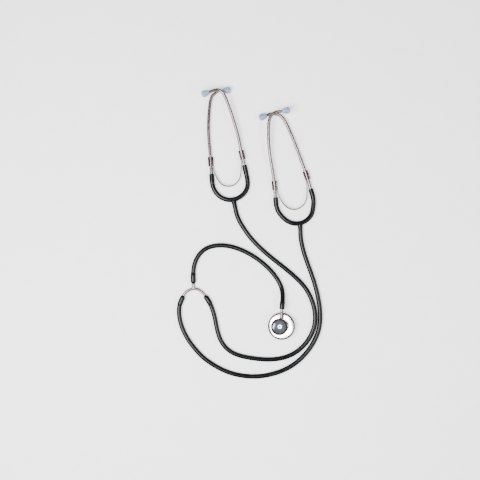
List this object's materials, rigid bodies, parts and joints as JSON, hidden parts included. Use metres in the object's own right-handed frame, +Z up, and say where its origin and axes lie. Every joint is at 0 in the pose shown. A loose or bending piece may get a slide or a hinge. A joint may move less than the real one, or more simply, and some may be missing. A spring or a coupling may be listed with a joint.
{
  "type": "teaching stethoscope",
  "caption": "Teaching stethoscope with two sprung chrome headsets, long black hoses, a Y connector and a dual-head chest piece on a swivel stem.",
  "frame": {"origin": "centre of the footprint of the headsets, connector and chest piece, on the table they lie on", "axes": "+Y from the chest piece towards the ear tips, +X to the right headset, +Z up off the table"},
  "size_m": [0.2544, 0.5107, 0.0312],
  "materials": {
    "chrome": "polished",
    "rim_metal": "dark polished",
    "spring_steel": "satin",
    "brass": "machined",
    "black_pvc": "glossy",
    "tip_plastic": "translucent satin",
    "membrane": "satin",
    "gasket": "matte"
  },
  "bodies": {
    "root": {"left_headset_yoke": "black_pvc", "right_headset_yoke": "black_pvc", "left_headset_leaf_spring": "spring_steel", "right_headset_leaf_spring": "spring_steel", "left_long_hose": "black_pvc", "right_long_hose": "black_pvc", "chest_hose": "black_pvc", "connector_bow": "chrome", "connector_stem": "chrome", "chest_stem": "chrome", "valve_spindle": "brass"},
    "left_headset_left_arm": {"left_headset_left_ear_tube": "chrome", "left_headset_left_spring_bracket": "chrome", "left_headset_left_tip_nipple": "chrome"},
    "left_headset_left_tip": {"left_headset_left_ear_tip": "tip_plastic"},
    "left_headset_right_arm": {"left_headset_right_ear_tube": "chrome", "left_headset_right_spring_bracket": "chrome", "left_headset_right_tip_nipple": "chrome"},
    "left_headset_right_tip": {"left_headset_right_ear_tip": "tip_plastic"},
    "right_headset_left_arm": {"right_headset_left_ear_tube": "chrome", "right_headset_left_spring_bracket": "chrome", "right_headset_left_tip_nipple": "chrome"},
    "right_headset_left_tip": {"right_headset_left_ear_tip": "tip_plastic"},
    "right_headset_right_arm": {"right_headset_right_ear_tube": "chrome", "right_headset_right_spring_bracket": "chrome", "right_headset_right_tip_nipple": "chrome"},
    "right_headset_right_tip": {"right_headset_right_ear_tip": "tip_plastic"},
    "chest_head": {"head_body": "chrome", "bell_cup": "chrome", "bell_rim": "rim_metal", "gland_nut": "chrome", "detent_ball": "spring_steel", "detent_spring": "spring_steel", "detent_screw": "spring_steel", "diaphragm": "membrane", "diaphragm_gasket": "gasket", "diaphragm_ring": "chrome"}
  },
  "joints": [
    {"name": "left_headset_left_spread", "type": "hinge", "parent": "root", "child": "left_headset_left_arm", "pos_m": [-0.06296, 0.05624, 0.0044], "axis": [0, 0, 1], "range_deg": [0, 36], "stiffness_Nm_per_rad": 1.2, "deforming": ["left_headset_yoke", "left_headset_leaf_spring"]},
    {"name": "left_headset_right_spread", "type": "hinge", "parent": "root", "child": "left_headset_right_arm", "pos_m": [-0.00385, 0.07232, 0.0044], "axis": [0, 0, -1], "range_deg": [0, 13], "stiffness_Nm_per_rad": 1.2, "deforming": ["left_headset_yoke", "left_headset_leaf_spring"]},
    {"name": "right_headset_left_spread", "type": "hinge", "parent": "root", "child": "right_headset_left_arm", "pos_m": [0.04921, 0.01527, 0.0044], "axis": [0, 0, 1], "range_deg": [0, 13], "stiffness_Nm_per_rad": 1.2, "deforming": ["right_headset_yoke", "right_headset_leaf_spring"]},
    {"name": "right_headset_right_spread", "type": "hinge", "parent": "root", "child": "right_headset_right_arm", "pos_m": [0.113, 0.03069, 0.0044], "axis": [0, 0, -1], "range_deg": [0, 36], "stiffness_Nm_per_rad": 1.2, "deforming": ["right_headset_yoke", "right_headset_leaf_spring"]},
    {"name": "left_headset_left_tip_turn", "type": "hinge", "parent": "left_headset_left_arm", "child": "left_headset_left_tip", "pos_m": [-0.0458, 0.214, 0.00625], "axis": [0.9985, 0.0542, 0.011], "range_deg": [0, 360]},
    {"name": "left_headset_right_tip_turn", "type": "hinge", "parent": "left_headset_right_arm", "child": "left_headset_right_tip", "pos_m": [-0.0658, 0.2101, 0.0192], "axis": [-0.9357, -0.3414, 0.0886], "range_deg": [0, 360]},
    {"name": "right_headset_left_tip_turn", "type": "hinge", "parent": "right_headset_left_arm", "child": "right_headset_left_tip", "pos_m": [0.0571, 0.1761, 0.0192], "axis": [0.9867, 0.1387, 0.0845], "range_deg": [0, 360]},
    {"name": "right_headset_right_tip_turn", "type": "hinge", "parent": "right_headset_right_arm", "child": "right_headset_right_tip", "pos_m": [0.0342, 0.1713, 0.00625], "axis": [-0.9394, -0.3427, 0.0106], "range_deg": [0, 360]},
    {"name": "chest_swivel", "type": "hinge", "parent": "root", "child": "chest_head", "pos_m": [0.0567, -0.1976, 0.01417], "axis": [0.0698, 0.9976, 0], "continuous": true}
  ]
}
